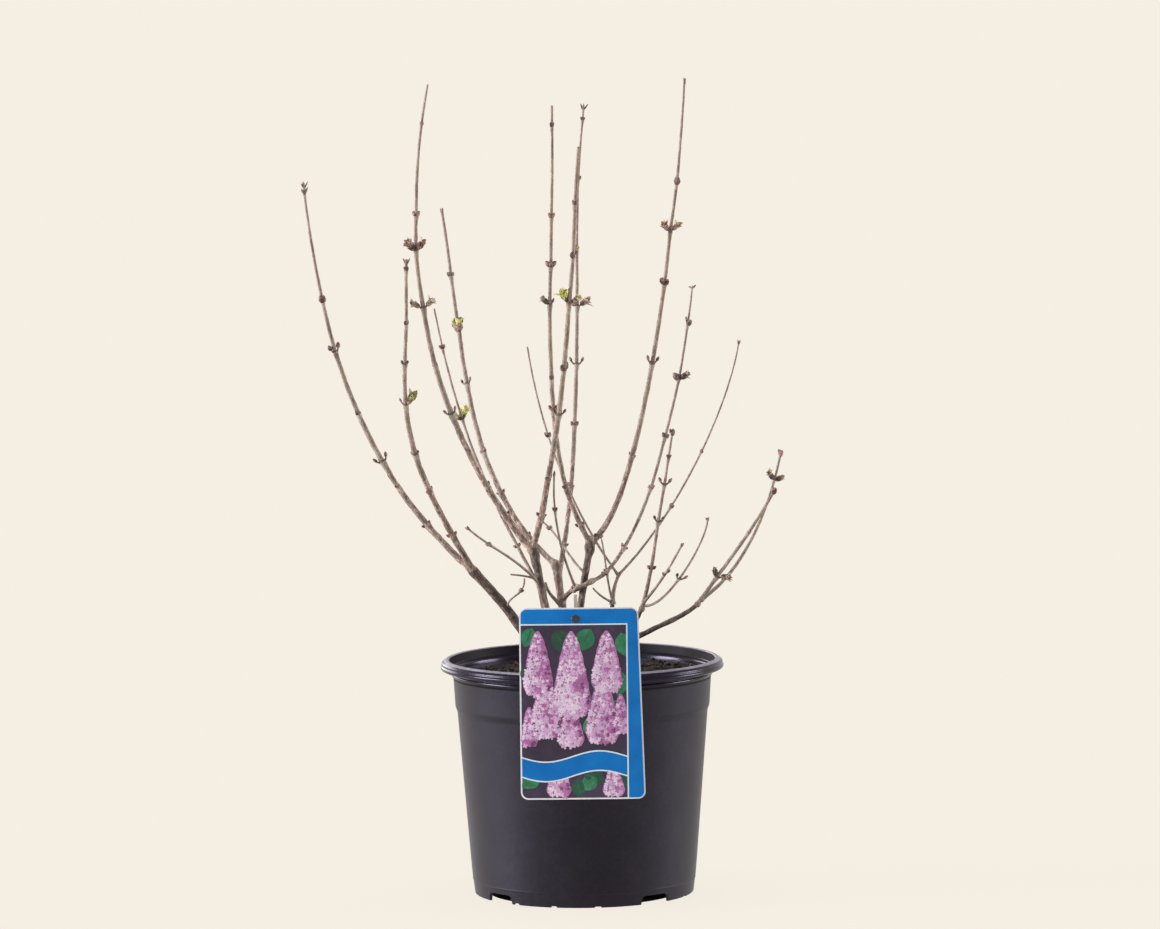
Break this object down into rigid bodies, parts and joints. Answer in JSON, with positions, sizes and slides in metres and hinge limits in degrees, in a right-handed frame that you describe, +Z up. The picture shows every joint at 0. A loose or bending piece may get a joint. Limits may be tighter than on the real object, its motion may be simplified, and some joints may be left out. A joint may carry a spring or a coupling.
{
  "type": "leafless lilac bush in nursery pot",
  "caption": "Bare multi-stemmed lilac bush in winter bud, growing in a filled black nursery pot with a picture label hung on a short stake.",
  "frame": {"origin": "centre of the pot's flat underside, on the surface that it stands on", "axes": "+Z up along the pot's axis; the front of the plant, with the label, faces -Y; +X is to the right seen from the front"},
  "size_m": [0.3228, 0.2555, 0.547],
  "materials": {
    "pot": "satin black moulded polypropylene",
    "soil": "damp crumbly peat",
    "bark": "rough grey-brown flaking bark",
    "twig": "smooth grey-brown young bark with dark buds",
    "label": "glossy printed card",
    "stake": "pale moulded plastic"
  },
  "bodies": {
    "root": {"pot": "pot", "soil": "soil", "label": "label", "label_stake": "stake", "stem_centre": "bark", "stem_fore": "bark", "stem_left": "bark", "stem_middle": "bark", "stem_outer": "bark", "stem_right": "bark", "stem_slim": "bark", "bough_cross": "bark", "bough_far_left": "bark", "bough_left_fore": "bark", "bough_left_rear": "bark", "bough_mid_fore": "bark", "bough_mid_rear": "bark", "bough_right_rear": "bark", "bough_tall_left": "bark", "bough_tall_mid": "bark", "bough_tall_right": "bark", "twigs_far_left": "twig", "twigs_far_right": "twig", "twigs_left_fore": "twig", "twigs_left_rear": "twig", "twigs_low_centre": "twig", "twigs_low_fore": "twig", "twigs_low_left": "twig", "twigs_low_mid": "twig", "twigs_low_outer": "twig", "twigs_mid_fore": "twig", "twigs_mid_rear": "twig", "twigs_right_low": "twig", "twigs_right_rear": "twig", "twigs_right_slim": "twig", "twigs_slim_left": "twig", "twigs_tall_left": "twig", "twigs_tall_mid": "twig", "twigs_tall_right": "twig"}
  },
  "joints": []
}
